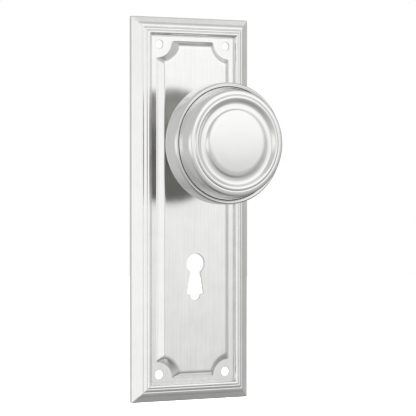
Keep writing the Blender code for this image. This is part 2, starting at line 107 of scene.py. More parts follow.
# collar, its moulding above the panel as (radius, depth, softness), the bush in it and the spacer on that
COLLAR_BORE, COLLAR_FOOT = 9.6, 13.6
COLLAR_MOULDING = (
    (COLLAR_BORE, 12.9, 0.2), (11.6, 12.9, 0.4), (12.1, 12.4, 0.5), (11.6, 11.7, 0.3), (11.8, 10.2, 1.0),
    (13.2, 9.4, 0.5), (COLLAR_FOOT, 8.9, 0.4),
)
BUSH_RADIUS, BUSH_FLANGE = 9.3, 10.8
BUSH_REAR, BUSH_SHOULDER, BUSH_FRONT = 6.3, 13.2, 13.9
SPACER_RADIUS, SPACER_REAR, SPACER_FRONT = 10.4, 14.2, 14.7

# knob shells as (radius, depth, softness)
FRONT_OUTER = (
    (0.0, KNOB_TOP, 0.0), (8.0, 49.75, 6.0), (13.6, 49.4, 1.0), (15.2, 49.05, 0.8), (16.0, 48.35, 0.3),
    (17.2, 48.15, 0.8), (18.7, 48.15, 0.6), (19.6, 48.7, 0.4), (20.4, 49.25, 0.5), (21.2, 49.4, 0.5),
    (21.95, 49.1, 0.3), (22.1, 48.75, 0.1), (22.6, 48.85, 0.3), (23.9, 48.65, 0.5), (24.7, 47.95, 0.6),
    (24.95, 46.2, 1.2), (25.3, 44.0, 1.2), (25.75, 42.3, 0.8), (26.3, 41.3, 0.25),
    (SKIRT_RADIUS, 39.0, 0.1),
)
FRONT_INNER = (
    (25.25, 39.0, 0.1), (24.6, 41.9, 0.8), (24.1, 44.0, 0.8), (23.6, 46.6, 0.5), (22.9, 47.2, 0.5),
    (15.8, 47.0, 1.0), (0.0, 48.4, 0.0),
)
BACK_OUTER = (
    (26.55, 39.8, 0.1), (26.55, 41.25, 0.1), (27.05, 41.65, 0.3), (27.75, LIP_TOP, 0.35),
    (28.3, 40.95, 0.4), (KNOB_RADIUS, 39.6, 0.5), (KNOB_RADIUS, 37.0, 1.5), (KNOB_RADIUS, 32.6, 1.6),
    (27.9, 30.4, 1.2), (25.9, 27.6, 1.5), (21.4, 24.8, 2.0), (15.0, 22.2, 2.0), (9.9, BOWL_REAR, 0.3),
)
BACK_INNER = (
    (9.9, 21.9, 0.1), (14.6, 23.5, 1.0), (20.8, 26.1, 1.0), (25.0, 28.8, 1.0), (26.8, 31.2, 1.0),
    (27.2, 33.0, 1.0), (27.2, 38.6, 0.6),
)
# depth where the back shell's bowl begins, which is rougher and painted darker as shade
SHADED_BOWL_START = 31.0

# neck with its flange, journal with the clip's groove, and socket
JOURNAL_RADIUS, NECK_RADIUS, NECK_START = 8.0, 9.6, 15.0
SHANK_REAR, SHANK_FRONT = -4.4, 27.0
FLANGE_RADIUS, FLANGE_REAR, FLANGE_FRONT = 12.6, 23.8, 25.6
GROOVE_RADIUS, GROOVE_REAR, GROOVE_FRONT = 7.1, -3.2, -1.6
FLAT_HALF, FLATS_END = 6.6, 5.2
SOCKET_HALF, SOCKET_END = 3.85, 25.0
SPINDLE_HALF, SPINDLE_REAR, SPINDLE_FRONT = 3.57, -48.0, 24.7
SET_SCREW_DEPTH, SET_SCREW_RADIUS = 17.6, 2.0
HEX_RADIUS, HEX_DEEP = 1.15, 1.8

# spring housing behind the panel, its cover and the cover's screws
HOUSING_RADIUS, HOUSING_FRONT, HOUSING_REAR = 15.5, 5.9, 1.5
FLOOR_THICKNESS, WALL_THICKNESS = 0.6, 0.7
COVER_FRONT, COVER_REAR = 1.2, 0.4
COVER_HALF, COVER_CORNER = (15.9, 24.0), 4.0
BORE_RADIUS = 8.6
POST_X, POST_Y, POST_RADIUS, POST_BORE = 11.5, 20.0, 2.6, 1.65
SCREW_RADIUS, SCREW_HEAD, SCREW_TIP, SINK_RADIUS = 1.35, 2.6, 4.9, 3.15

# return spring and its stops
SPRING_RADIUS, SPRING_WIRE, SPRING_TURNS = 11.0, 0.8, 1.75
SPRING_FRONT, SPRING_REAR = 3.5, 1.95
ARM_HALF_WIDTH, ARM_REACH, ARM_REAR = 2.0, 14.0, 4.2
HUB_RADIUS = 9.7
PIN_CIRCLE, PIN_RADIUS, PIN_ANGLE = 13.2, 0.9, 74.0

# wave washer, clip washer, and snap ring with half its opening in degrees
WAVE_INNER, WAVE_OUTER, WAVE_HALF = 8.4, 10.6, 0.15
WAVE_COUNT, WAVE_HEIGHT, WAVE_DEPTH = 3, 0.22, -0.3
CLIP_WASHER_RADIUS, CLIP_WASHER_REAR, CLIP_WASHER_FRONT = 10.6, -1.55, -1.1
CLIP_OUTER, CLIP_INNER, CLIP_OPENING = 9.6, 7.4, 24
CLIP_REAR, CLIP_FRONT = -2.9, -1.9
LEFT_EAR = ((-3.2, -11.2), (-1.6, -11.2), (-1.2, -8.2))
EYE_X, EYE_Y, EYE_RADIUS = 2.35, -9.9, 0.55

# clearance between neighbours, eased edge of a stamping, and how far most cutters run past their piece
GAP = 0.3
EASE = 0.12
PAST = 3.0
# sides of large, middling and small turned pieces, and steps round a softened corner
TURN_STEPS, BAR_STEPS, SMALL_STEPS = 192, 96, 48
CORNER_STEPS = 4

# camera, from the plate's middle
VIEW_AZIMUTH, VIEW_ELEVATION = -28.09, 0.764
VIEW_DISTANCE = 974.0
VIEW_AIM = (10.84, 0.0, 1.46)
VIEW_LENS = 173.5
VIEW_SHIFT_Y = -0.0046


# ---------------------------------------------------------------- shapes

def place(x, y, depth):
    """A point given by the door's directions, in the row frame."""
    return Vector((x, -depth, y)) * MM


def arc(cx, cy, radius, start, end, count):
    """Points on an arc in degrees, both ends included."""
    angles = [math.radians(start + (end - start) * i / count) for i in range(count + 1)]
    return [(cx + radius * math.cos(a), cy + radius * math.sin(a)) for a in angles]


def rounded_rectangle(half_x, half_y, radius, count=8):
    """Rectangle about the knob's axis with round corners, anticlockwise."""
    points = []
    for sx, sy, start in ((1, 1, 0), (-1, 1, 90), (-1, -1, 180), (1, -1, 270)):
        points += arc(sx * (half_x - radius), sy * (half_y - radius), radius, start, start + 90, count)
    return points


def double_flat(radius, half_width, count=16):
    """Circle with a flat on its left and on its right."""
    reach = math.degrees(math.acos(half_width / radius))
    return (arc(0, 0, radius, reach, 180 - reach, count)
            + arc(0, 0, radius, 180 + reach, 360 - reach, count))


def circle(cx, cy, radius, count=SMALL_STEPS):
    """Closed circle without a repeated point."""
    return arc(cx, cy, radius, 0, 360, count)[:-1]


def rectangle(half_x, half_y, cx=0.0, cy=0.0):
    """Rectangle from the lower left corner, anticlockwise."""
    return [(cx - half_x, cy - half_y), (cx + half_x, cy - half_y),
            (cx + half_x, cy + half_y), (cx - half_x, cy + half_y)]


def soften(points, closed=True, steps=CORNER_STEPS, softness=None):
    """Round the corners of (a, b, softness) points, or of (a, b) points that share one softness."""
    places = [Vector(p[:2]) for p in points]
    amounts = [softness if softness is not None else p[2] for p in points]
    out = []
    for i, here in enumerate(places):
        if not closed and i in (0, len(places) - 1):
            out.append(tuple(here))
            continue
        before = places[i - 1] - here
        after = places[(i + 1) % len(places)] - here
        reach = min(amounts[i], 0.48 * before.length, 0.48 * after.length)
        start = here + before.normalized() * reach
        end = here + after.normalized() * reach
        for k in range(steps + 1):
            t = k / steps
            out.append(tuple(start * (1 - t) ** 2 + here * 2 * t * (1 - t) + end * t ** 2))
    return out


def at(cx, cy):
    """Moves a piece from the knob's axis to a parallel one."""
    return lambda x, y, depth: (cx + x, cy + y, depth)


def downward(x, y, depth):
    """Turns a piece to point down through the neck at the set screw."""
    return x, -depth, SET_SCREW_DEPTH + y


def new_object(name, verts, faces, material, where=None):
    """A mesh object from points in the door's terms, each moved by where."""
    if where:
        verts = [where(*v) for v in verts]
    mesh = bpy.data.meshes.new(name)
    mesh.from_pydata([place(*v) for v in verts], [], faces)
    bm = bmesh.new()
    bm.from_mesh(mesh)
    bmesh.ops.remove_doubles(bm, verts=bm.verts, dist=0.0005 * MM)
    bmesh.ops.recalc_face_normals(bm, faces=bm.faces)
    bm.to_mesh(mesh)
    bm.free()
    mesh.materials.append(material)
    mesh.shade_smooth()
    obj = bpy.data.objects.new(name, mesh)
    bpy.context.scene.collection.objects.link(obj)
    return obj


def turned(name, profile, material, steps=TURN_STEPS, solid_core=False, where=None):
    """Turn a (radius, depth) profile about the depth axis. With solid_core its ends are on the axis."""
    verts, faces = [], []
    rows = []
    for radius, depth in profile:
        if radius < 1e-6:
            rows.append([len(verts)] * steps)
            verts.append((0.0, 0.0, depth))
            continue
        rows.append(list(range(len(verts), len(verts) + steps)))
        angles = [math.tau * k / steps for k in range(steps)]
        verts += [(radius * math.cos(a), radius * math.sin(a), depth) for a in angles]
    pairs = list(zip(rows, rows[1:]))
    if not solid_core:
        pairs.append((rows[-1], rows[0]))
    for lower, upper in pairs:
        for k in range(steps):
            j = (k + 1) % steps
            corners = list(dict.fromkeys([lower[k], lower[j], upper[j], upper[k]]))
            if len(corners) > 2:
                faces.append(corners)
    return new_object(name, verts, faces, material, where)


def lofted(name, rings, material, where=None):
    """Closed solid through a stack of (outline, depth) rings with equal point counts."""
    verts, faces = [], []
    count = len(rings[0][0])
    for outline, depth in rings:
        verts += [(x, y, depth) for x, y in outline]
    for level in range(len(rings) - 1):
        base = level * count
        for i in range(count):
            j = (i + 1) % count
            faces.append((base + i, base + j, base + count + j, base + count + i))
    faces.append(tuple(reversed(range(count))))
    faces.append(tuple(range(len(verts) - count, len(verts))))
    return new_object(name, verts, faces, material, where)


def swelled(outline, amount):
    """An anticlockwise outline with each point moved outwards along its own normal."""
    out = []
    for i, point in enumerate(outline):
        before, after = Vector(outline[i - 1]), Vector(outline[(i + 1) % len(outline)])
        along = (after - before).normalized()
        out.append((point[0] + along.y * amount, point[1] - along.x * amount))
    return out


def block(name, outline, rear, front, material, where=None):
    """Straight-sided solid between two depths, used as a cutter."""
    return lofted(name, [(outline, rear), (outline, front)], material, where)


def stamped(name, outline, rear, front, material, edge=EASE):
    """Flat stamping with an eased front and rear edge."""
    rings = [(swelled(outline, -edge), rear), (swelled(outline, -edge * 0.3), rear + edge * 0.3),
             (outline, rear + edge), (outline, front - edge),
             (swelled(outline, -edge * 0.3), front - edge * 0.3), (swelled(outline, -edge), front)]
    return lofted(name, rings, material)


def hole_cutter(name, outline, rear, front, material, ease=0.15):
    """Cutter for a hole through a sheet between two depths, with eased mouths on both faces."""
    mouth = ((ease + PAST * 0.1, -PAST), (ease, 0.0), (ease * 0.3, ease * 0.7), (0.0, ease * 1.4))
    rings = [(swelled(outline, wider), rear + inward) for wider, inward in mouth]
    rings += [(swelled(outline, wider), front - inward) for wider, inward in reversed(mouth)]
    return lofted(name, rings, material)


def cut(target, *cutters, operation="DIFFERENCE"):
    """Apply exact Booleans to a piece and remove the cutters."""
    for cutter in cutters:
        boolean = target.modifiers.new(cutter.name, "BOOLEAN")
        boolean.operation = operation
        boolean.solver = "EXACT"
        boolean.material_mode = "TRANSFER"
        boolean.object = cutter
    settle(target)
    for cutter in cutters:
        bpy.data.objects.remove(cutter, do_unlink=True)
    return target


def settle(obj):
    """Apply an object's modifiers and its own transform to its mesh."""
    depsgraph = bpy.context.evaluated_depsgraph_get()
    mesh = bpy.data.meshes.new_from_object(obj.evaluated_get(depsgraph))
    obj.modifiers.clear()
    obj.data = mesh
    obj.data.transform(obj.matrix_world)
    obj.matrix_world = Matrix.Identity(4)


def shade(obj, angle=50):
    """Smooth shading with sharp edges over an angle, and normals weighted by area to keep flats flat."""
    obj.data.shade_smooth()
    obj.data.set_sharp_from_angle(angle=math.radians(angle))
    weighted = obj.modifiers.new("flat_normals", "WEIGHTED_NORMAL")
    weighted.keep_sharp = True
    settle(obj)


def finish_piece(obj, node, body, angle=50):
    """Shade a piece, put it in place of its CAD node, and let it ride on its body."""
    shade(obj, angle)
    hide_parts(node)
    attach(obj, body)


# ---------------------------------------------------------------- materials

def shader_of(name, roughness, metallic):
    """A new node material with its shader's plain values set."""
    material = bpy.data.materials.new(name)
    material.use_nodes = True
    shader = material.node_tree.nodes["Principled BSDF"]
    shader.inputs["Roughness"].default_value = roughness
    shader.inputs["Metallic"].default_value = metallic
    return material, material.node_tree, shader


def node(tree, kind, **values):
    """A node with its properties, and with its sockets where a name is a socket's."""
    made = tree.nodes.new(kind)
    for key, value in values.items():
        name = key.replace("_", " ")
        sockets = [s for s in made.inputs if s.name.lower() == name]
        if sockets:
            sockets[0].default_value = value
        else:
            setattr(made, key, value)
    return made


def maths(tree, operation, a, b=None):
    """A Math node on sockets or numbers; returns its output."""
    made = node(tree, "ShaderNodeMath", operation=operation)
    for socket, value in zip(made.inputs, (a, b)):
        if isinstance(value, bpy.types.NodeSocket):
            tree.links.new(value, socket)
        elif value is not None:
            socket.default_value = value
    return made.outputs[0]


def spread(tree, value, low, high, from_low=0.3, from_high=0.7):
    """A noise value stretched from its usual range to low..high."""
    made = node(tree, "ShaderNodeMapRange", from_min=from_low, from_max=from_high,
                to_min=low, to_max=high)
    tree.links.new(value, made.inputs[0])
    return made.outputs[0]


def straight_grain(tree, width, length, along=2, detail=4.0):
    """Noise drawn out along an axis of the row frame, its grains' width and length in millimetres."""
    where = node(tree, "ShaderNodeTexCoord")
    stretch = node(tree, "ShaderNodeMapping")
    sizes = [length if axis == along else width for axis in range(3)]
    stretch.inputs["Scale"].default_value = [1 / size for size in sizes]
    tree.links.new(where.outputs["Object"], stretch.inputs["Vector"])
    noise = node(tree, "ShaderNodeTexNoise", detail=detail, roughness=0.6, scale=1 / MM)
    tree.links.new(stretch.outputs["Vector"], noise.inputs["Vector"])
    return noise.outputs["Fac"]


def turned_grain(tree, width, reach, detail=4.0):
    """Noise drawn out round the knob's axis; more reach gives more change round the circle."""
    where = node(tree, "ShaderNodeTexCoord")
    parts = node(tree, "ShaderNodeSeparateXYZ")
    tree.links.new(where.outputs["Object"], parts.inputs[0])
    across = maths(tree, "MULTIPLY", parts.outputs["X"], parts.outputs["X"])
    upward = maths(tree, "MULTIPLY", parts.outputs["Z"], parts.outputs["Z"])
    radius = maths(tree, "SQRT", maths(tree, "ADD", maths(tree, "ADD", across, upward), 1e-10))
    joined = node(tree, "ShaderNodeCombineXYZ")
    for axis in "XZ":
        round_share = maths(tree, "DIVIDE", parts.outputs[axis], radius)
        tree.links.new(maths(tree, "MULTIPLY", round_share, reach), joined.inputs[axis])
    tree.links.new(maths(tree, "DIVIDE", radius, width * MM), joined.inputs["Y"])
    noise = node(tree, "ShaderNodeTexNoise", noise_dimensions="4D", detail=detail, roughness=0.6,
                 scale=1.0)
    tree.links.new(joined.outputs[0], noise.inputs["Vector"])
    tree.links.new(maths(tree, "DIVIDE", parts.outputs["Y"], width * MM), noise.inputs["W"])
    return noise.outputs["Fac"]


def speckle(tree, size, detail=3.0):
    """Even noise with a feature size in millimetres."""
    where = node(tree, "ShaderNodeTexCoord")
    noise = node(tree, "ShaderNodeTexNoise", detail=detail, roughness=0.55, scale=1 / (size * MM))
    tree.links.new(where.outputs["Object"], noise.inputs["Vector"])
    return noise.outputs["Fac"]


def connect(tree, shader, grain, cloud, colours, roughness, bump_height):
    """Drive a shader's colour and roughness by grain and cloud noise, and its bump by the grain."""
    grain_part = maths(tree, "MULTIPLY", grain, 0.55)
    tone = maths(tree, "ADD", grain_part, maths(tree, "MULTIPLY", cloud, 0.45))
    ramp = node(tree, "ShaderNodeValToRGB")
    for element, position, colour in zip(ramp.color_ramp.elements, (0.3, 0.7), colours):
        element.position = position
        element.color = (*colour, 1.0)
    tree.links.new(tone, ramp.inputs[0])
    tree.links.new(ramp.outputs["Color"], shader.inputs["Base Color"])
    tree.links.new(spread(tree, tone, *roughness), shader.inputs["Roughness"])
    bump = node(tree, "ShaderNodeBump", strength=1.0, distance=bump_height * MM)
    tree.links.new(grain, bump.inputs["Height"])
    tree.links.new(bump.outputs["Normal"], shader.inputs["Normal"])


def satin_nickel_plate():
    """Plated brass, brushed along the plate's length."""
    material, tree, shader = shader_of("satin_nickel_plate", 0.22, 1.0)
    grain = straight_grain(tree, width=0.5, length=26.0)
    connect(tree, shader, grain, speckle(tree, 9.0), ((0.805, 0.806, 0.795), (0.925, 0.925, 0.912)),
            (0.15, 0.24), 0.008)
    return material


def satin_nickel_turned():
    """Plated brass, brushed round the knob's axis."""
    material, tree, shader = shader_of("satin_nickel_turned", 0.22, 1.0)
    grain = turned_grain(tree, width=0.5, reach=4.0)
    connect(tree, shader, grain, speckle(tree, 6.0), ((0.83, 0.83, 0.815), (0.875, 0.875, 0.86)),
            (0.18, 0.25), 0.003)
    return material


def bowl_nickel_painted_shade():
    """The pressed bowl behind the drum: rougher, and its colour painted darker than the other nickel as
    shade.
    """
    material, tree, shader = shader_of("bowl_nickel_painted_shade", 0.32, 1.0)
    grain = turned_grain(tree, width=0.7, reach=3.0)
    # base colours painted far darker than the rest of the nickel, as shade behind the drum
    connect(tree, shader, grain, speckle(tree, 5.0), ((0.37, 0.367, 0.35), (0.45, 0.446, 0.428)),
            (0.28, 0.38), 0.005)
    return material


def forged_back():
    """The plate's unpolished rear: thin plating over a sand-blasted forging."""
    material, tree, shader = shader_of("forged_back", 0.5, 1.0)
    connect(tree, shader, speckle(tree, 0.6, detail=5.0), speckle(tree, 12.0),
            ((0.5, 0.49, 0.46), (0.66, 0.65, 0.62)), (0.42, 0.6), 0.04)
    return material


def zinc_steel():
    """Bright zinc plating with faint blue and straw blooms."""
    material, tree, shader = shader_of("zinc_steel", 0.35, 1.0)
    connect(tree, shader, speckle(tree, 0.5, detail=5.0), speckle(tree, 5.0),
            ((0.58, 0.6, 0.66), (0.74, 0.73, 0.68)), (0.28, 0.45), 0.008)
    return material


def drawn_steel():
    """Zinc-plated bar with draw marks along it."""
    material, tree, shader = shader_of("drawn_steel", 0.35, 1.0)
    connect(tree, shader, straight_grain(tree, width=0.25, length=12.0, along=1), speckle(tree, 4.0),
            ((0.54, 0.56, 0.6), (0.74, 0.73, 0.7)), (0.26, 0.42), 0.01)
    return material


def spring_steel():
    """Dark oiled steel."""
    material, tree, shader = shader_of("spring_steel", 0.35, 1.0)
    connect(tree, shader, speckle(tree, 0.3, detail=5.0), speckle(tree, 3.0),
            ((0.14, 0.14, 0.15), (0.26, 0.25, 0.24)), (0.26, 0.42), 0.005)
    return material


def cast_zinc():
    """Dull die casting."""
    material, tree, shader = shader_of("cast_zinc", 0.5, 1.0)
    connect(tree, shader, speckle(tree, 0.4, detail=6.0), speckle(tree, 4.0),
            ((0.44, 0.44, 0.46), (0.6, 0.6, 0.6)), (0.42, 0.6), 0.02)
    return material


def nylon():
    """Off-white moulded nylon."""
    material, tree, shader = shader_of("nylon", 0.45, 0.0)
    shader.inputs["Subsurface Weight"].default_value = 0.1
    connect(tree, shader, speckle(tree, 0.35, detail=4.0), speckle(tree, 5.0),
            ((0.78, 0.76, 0.69), (0.86, 0.84, 0.78)), (0.4, 0.52), 0.01)
    return material


# ---------------------------------------------------------------- back plate

def plate_edge(inset):
    """The plate's rectangle, moved inwards, with its corners eased."""
    corners = rectangle(PLATE_HALF_X - inset, PLATE_HALF_Y - inset, cy=PLATE_CENTRE_Y)
    return soften(corners, softness=MITRE_SOFTNESS)


def notched_panel(inset):
    """Outline of the raised panel: a quarter circle bitten out of each corner, with softened tips."""
    foot_x = PLATE_HALF_X - RIM_WIDTH - FIELD_BORDER
    foot_y = PLATE_HALF_Y - RIM_WIDTH - FIELD_BORDER + PANEL_LONGER
    radius = NOTCH_RADIUS + inset
    cx, cy = foot_x - NOTCH_INSET[0], foot_y - NOTCH_INSET[1]
    on_side = math.degrees(math.acos((foot_x - inset - cx) / radius))
    on_end = math.degrees(math.asin((foot_y - inset - cy) / radius))
    back_off = math.degrees(TIP_SOFTNESS / radius)
    first, last = 360 - on_side, 180 - on_end
    bite = arc(0, 0, radius, first - back_off, last + back_off, 24)
    side_tip, end_tip = arc(0, 0, radius, first, last, 1)
    quarter = bezier((side_tip[0], side_tip[1] - TIP_SOFTNESS), side_tip, bite[0]) + bite[1:-1]
    quarter += bezier(bite[-1], end_tip, (end_tip[0] - TIP_SOFTNESS, end_tip[1]))
    points = []
    for sx, sy in ((1, 1), (-1, 1), (-1, -1), (1, -1)):
        corner = [(sx * (cx + x), sy * (cy + y) + PLATE_CENTRE_Y) for x, y in quarter]
        points += corner if sx * sy > 0 else corner[::-1]
    return points


def bezier(start, middle, end, steps=CORNER_STEPS):
    """Quadratic curve between two points."""
    a, b, c = Vector(start), Vector(middle), Vector(end)
    return [tuple(a * (1 - t) ** 2 + b * 2 * t * (1 - t) + c * t ** 2) for t in
            (k / steps for k in range(steps + 1))]


def keyhole_outline():
    """Bow, flared slot, small shoulders and a round lobe at the foot, anticlockwise."""
    bow = arc(0, KEYHOLE_Y, BOW_RADIUS, BOW_START, BOW_END, 40)
    lobe = arc(0, KEYHOLE_Y - LOBE_DROP, LOBE_RADIUS, 180, 360, 18)
    left = [(x, KEYHOLE_Y + y) for x, y in LEFT_SHOULDER]
    right = [(-x, y) for x, y in reversed(left)]
    return bow + left + lobe + right


def screw_hole_cutter(name, x, y, material):
    """Through hole with a hair of rounding at both mouths."""
    sections = ((0.25, PANEL_DEPTH + 1.3), (0.2, FIELD_DEPTH + 0.05), (0.1, FIELD_DEPTH - 0.06),
                (0.03, FIELD_DEPTH - 0.14), (0.0, FIELD_DEPTH - 0.25), (0.0, FIELD_DEPTH - 0.6),
                (0.5, FIELD_HOLLOW), (1.1, -PAST))
    return lofted(name, [(circle(x, y, SCREW_HOLE_RADIUS + r), d) for r, d in sections], material)


def hollow_cutter(name, outline_at, floor, material):
    """Cutter for a hollow in the back, with drafted walls and a filleted floor."""
    sections = ((-0.9, -PAST), (-0.35, 0.0), (-0.1, 0.25), (0.15, floor - 0.9), (0.45, floor - 0.25),
                (1.1, floor))
    return lofted(name, [(outline_at(i), d) for i, d in sections], material)


def build_plate(front, back):
    """Moulded rim, flat field, raised notched panel and hollow back, with keyhole and screw holes."""
    rim = [(plate_edge(w), d) for w, d in soften(RIM_PROFILE, closed=False)]
    plate = lofted("plate", rim, front)
    plate.data.materials.append(back)
    for face in plate.data.polygons:
        if face.normal.y > 0.9:
            face.material_index = 1
    panel = [(notched_panel(w), d) for w, d in soften(PANEL_PROFILE, closed=False)]
    cut(plate, lofted("panel_block", panel, front), operation="UNION")
    collar_hole = circle(0, 0, COLLAR_HOLE_RADIUS, BAR_STEPS)
    cutters = [
        hollow_cutter("field_hollow", lambda i: plate_edge(BACK_LAND + i), FIELD_HOLLOW, back),
        hollow_cutter("panel_hollow", lambda i: notched_panel(POCKET_INSET + i), PANEL_HOLLOW, back),
        hole_cutter("keyhole", keyhole_outline(), PANEL_HOLLOW, PANEL_DEPTH, front),
        hole_cutter("collar_hole", collar_hole, PANEL_HOLLOW, PANEL_DEPTH, front),
    ]
    for sx in (-1, 1):
        for sy in (-1, 1):
            cutters.append(screw_hole_cutter(f"screw_hole_{sx}_{sy}", sx * SCREW_HOLE_X,
                                             sy * SCREW_HOLE_Y + PLATE_CENTRE_Y, front))
    cut(plate, *cutters)
    posts = [turned(f"post_{i}", post_profile(), back, SMALL_STEPS, where=at(x, y))
             for i, (x, y) in enumerate(post_spots())]
    cut(plate, *posts, operation="UNION")
    finish_piece(plate, "back_plate", "plate")


def post_spots():
    """Centres of the four posts, row by row."""
    return [(sx * POST_X, sy * POST_Y) for sy in (1, -1) for sx in (-1, 1)]


def post_profile():
    """Drafted post under the panel with a blind screw hole and a fillet at its root."""
    rear = COVER_FRONT + GAP
    root = PANEL_HOLLOW + 0.5
    return soften([(POST_RADIUS + 0.9, root, 0.0), (POST_RADIUS + 0.8, PANEL_HOLLOW - 0.05, 0.1),
                   (POST_RADIUS + 0.05, PANEL_HOLLOW - 0.8, 0.6), (POST_RADIUS, rear, EASE),
                   (POST_BORE, rear, EASE), (POST_BORE, PANEL_HOLLOW - 0.2, 0.1),
                   (0.4, PANEL_HOLLOW + 0.2, 0.1), (0.4, root, 0.0)])


# ---------------------------------------------------------------- bearing

def build_collar(material):
    """Moulded ferrule on the panel, whose spigot sits in the plate."""
    seat = PANEL_DEPTH + 0.05
    spigot = COLLAR_HOLE_RADIUS - GAP
    profile = soften([*COLLAR_MOULDING, (COLLAR_FOOT, seat, 0.1), (spigot, seat, 0.05),
                      (spigot, PANEL_HOLLOW, 0.2), (COLLAR_BORE, PANEL_HOLLOW, 0.2)])
    finish_piece(turned("collar", profile, material), "plate_collar", "plate")


def build_bush(material):
    """Flanged sleeve in the collar."""
    bore = JOURNAL_RADIUS + 0.1
    profile = soften([(bore, BUSH_FRONT), (BUSH_FLANGE, BUSH_FRONT), (BUSH_FLANGE, BUSH_SHOULDER),
                      (BUSH_RADIUS, BUSH_SHOULDER), (BUSH_RADIUS, BUSH_REAR), (bore, BUSH_REAR)],
                     softness=0.2)
    finish_piece(turned("bush", profile, material), "bearing_bush", "plate")


def build_washer(name, node_name, radius, rear, front, material):
    """Flat ring round the journal with eased edges, which turns with the knob."""
    bore = JOURNAL_RADIUS + GAP
    profile = soften([(bore, front), (radius, front), (radius, rear), (bore, rear)], softness=EASE)
    finish_piece(turned(name, profile, material), node_name, "knob")


# ---------------------------------------------------------------- knob

def build_shells(material, bowl_shade_material):
    """Front shell held in the back shell's rolled lip, and the bowl behind the drum, rougher and painted
    darker as shade.
    """
    front_profile = soften(FRONT_OUTER + FRONT_INNER, closed=False)
    front = turned("knob_front", front_profile, material, solid_core=True)
    finish_piece(front, "knob_front_shell", "knob", angle=70)
    rear = turned("knob_back", soften(BACK_OUTER + BACK_INNER), material)
    # the bowl's faces behind the drum take the material painted darker as shade
    rear.data.materials.append(bowl_shade_material)
    for face in rear.data.polygons:
        if -face.center.y / MM < SHADED_BOWL_START:
            face.material_index = 1
    finish_piece(rear, "knob_back_shell", "knob", angle=70)


def build_shank(material):
    """Neck, journal and clip groove in one bar, with a square socket, driving flats and a screw hole."""
    neck = [(0, SHANK_FRONT, 0), (NECK_RADIUS - 1.2, SHANK_FRONT, 0.5), (NECK_RADIUS, FLANGE_FRONT, 0.4),
            (FLANGE_RADIUS, FLANGE_FRONT - 0.2, 0.2), (FLANGE_RADIUS, FLANGE_REAR + 0.2, 0.2),
            (NECK_RADIUS, FLANGE_REAR, 0.4), (NECK_RADIUS, NECK_START, 0.3)]
    journal = [(JOURNAL_RADIUS, NECK_START, 0.1), (JOURNAL_RADIUS, GROOVE_FRONT, 0.15),
               (GROOVE_RADIUS, GROOVE_FRONT, 0.1), (GROOVE_RADIUS, GROOVE_REAR, 0.1),
               (JOURNAL_RADIUS, GROOVE_REAR, 0.15), (JOURNAL_RADIUS, SHANK_REAR + 0.5, 0.1),
               (JOURNAL_RADIUS - 0.5, SHANK_REAR, 0.1), (0, SHANK_REAR, 0)]
    profile = soften(neck + journal, closed=False)
    shank = turned("shank", profile, material, BAR_STEPS, solid_core=True)
    socket_sides = ((SOCKET_HALF + 0.5, SHANK_REAR - 0.1), (SOCKET_HALF, SHANK_REAR + 0.5),
                    (SOCKET_HALF, SOCKET_END))
    socket = lofted("socket", [(rectangle(half, half), d) for half, d in socket_sides], material)
    flats = [block(f"flat_{side}", rectangle(PAST, 12.0, cx=side * (FLAT_HALF + PAST)),
                   SHANK_REAR - PAST, FLATS_END, material) for side in (-1, 1)]
    radius = SET_SCREW_RADIUS + GAP
    hole_sides = ((radius, 2.0), (radius, NECK_RADIUS - 0.3), (radius + 0.5, NECK_RADIUS + 0.2))
    hole = lofted("set_screw_hole", [(circle(0, 0, r), d) for r, d in hole_sides], material, downward)
    cut(shank, socket, *flats, hole)
    finish_piece(shank, "knob_shank", "knob")


def threaded(radius, start, end, pitch, height):
    """Thread ridges down a screw's side as (radius, depth) points from start to end."""
    turns = int((start - end) / pitch)
    points = []
    for i in range(turns):
        top = start - i * pitch
        ridge = ((radius - height, 0.0), (radius, 0.45), (radius, 0.55))
        points += [(reach, top - pitch * share) for reach, share in ridge]
    return points + [(radius - height, start - turns * pitch)]


def build_set_screw(material):
    """Headless screw that points down through the neck, with a cup point and a hexagon socket."""
    tip = SPINDLE_HALF + GAP
    head = NECK_RADIUS - 0.4
    profile = [(0, head), (1.55, head), (1.75, head - 0.2)]
    profile += threaded(SET_SCREW_RADIUS, head - 0.3, tip + 0.5, 0.5, 0.22)
    profile += [(1.2, tip), (0.9, tip), (0, tip + 0.3)]
    screw = turned("grub_screw", profile, material, SMALL_STEPS, solid_core=True, where=downward)
    socket = block("hex_socket", circle(0, 0, HEX_RADIUS, 6), head - HEX_DEEP, head + PAST, material,
                   downward)
    cut(screw, socket)
    finish_piece(screw, "set_screw", "knob")


def build_spindle(material):
    """Square bar with chamfered corners and ends."""
    sections = ((0.45, SPINDLE_REAR), (0.38, SPINDLE_REAR + 0.03), (0.03, SPINDLE_REAR + 0.5),
                (0.0, SPINDLE_REAR + 0.6), (0.0, SPINDLE_FRONT - 0.4), (0.3, SPINDLE_FRONT))
    rings = []
    for inset, depth in sections:
        half = SPINDLE_HALF - inset
        rings.append((rounded_rectangle(half, half, 0.5, 3), depth))
    finish_piece(lofted("bar", rings, material), "spindle", "knob", angle=35)


# ---------------------------------------------------------------- spring housing

def build_cup(material):
    """Round pressed cup, open to the rear, with a drawn radius and a slot for the spring's leg."""
    inner = HOUSING_RADIUS - WALL_THICKNESS
    floor = HOUSING_FRONT - FLOOR_THICKNESS
    profile = soften([(BORE_RADIUS, HOUSING_FRONT, 0.1), (HOUSING_RADIUS, HOUSING_FRONT, 1.1),
                      (HOUSING_RADIUS, HOUSING_REAR, 0.15), (inner, HOUSING_REAR, 0.15),
                      (inner, floor, 0.5), (BORE_RADIUS, floor, 0.1)])
    cup = turned("cup", profile, material, BAR_STEPS)
    slot = block("spring_slot", rectangle(0.8, 2.0, cy=-HOUSING_RADIUS), HOUSING_REAR - 1.0,
                 SPRING_REAR + 0.8, material)
    finish_piece(cut(cup, slot), "spring_housing", "plate")


